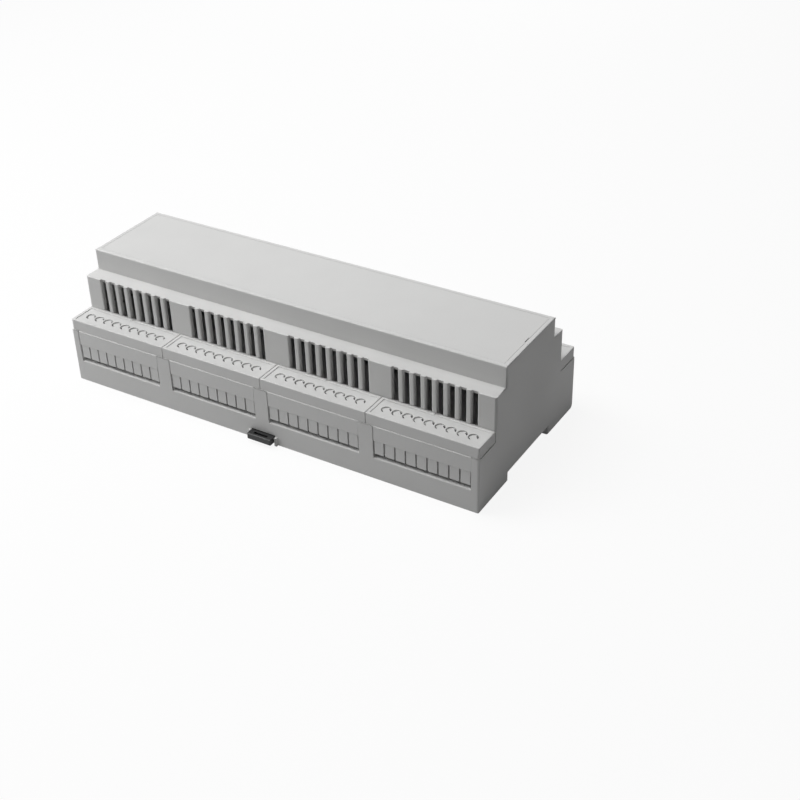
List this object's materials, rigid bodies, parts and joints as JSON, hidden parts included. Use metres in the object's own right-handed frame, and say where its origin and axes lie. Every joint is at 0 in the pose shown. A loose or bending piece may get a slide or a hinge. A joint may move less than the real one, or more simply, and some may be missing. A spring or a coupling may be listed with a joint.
{
  "type": "din rail enclosure",
  "caption": "Stepped plastic enclosure for electronic modules that snaps onto a 35 mm top hat rail, with vented shoulders, terminal guards and a sliding rail clip.",
  "frame": {"origin": "middle of the flat face in the underside recess that sits on the rail", "axes": "+X along the rail, -Y towards the side with the sliding clip, +Z away from the rail towards the front panel"},
  "size_m": [0.213, 0.094, 0.058],
  "materials": {
    "base_plastic": "moulded, fine matt texture",
    "hood_plastic": "moulded, fine matt texture",
    "panel_plastic": "moulded, fine matt texture",
    "guard_plastic": "moulded, fine matt texture",
    "clip_plastic": "moulded, satin black",
    "spring_steel": "drawn wire"
  },
  "bodies": {
    "enclosure": {"base": "base_plastic", "hood": "hood_plastic", "front_panel": "panel_plastic", "front_guard_1": "guard_plastic", "rear_guard_1": "guard_plastic", "front_guard_2": "guard_plastic", "rear_guard_2": "guard_plastic", "front_guard_3": "guard_plastic", "rear_guard_3": "guard_plastic", "front_guard_4": "guard_plastic", "rear_guard_4": "guard_plastic", "clip_spring": "spring_steel"},
    "clip": {"rail_clip": "clip_plastic"}
  },
  "joints": [
    {"name": "clip_slide", "type": "slide", "parent": "enclosure", "child": "clip", "axis": [0, -1, 0], "range_m": [0, 0.005], "stiffness_N_per_m": 800, "springref_m": -0.002, "deforming": ["clip_spring"]}
  ]
}
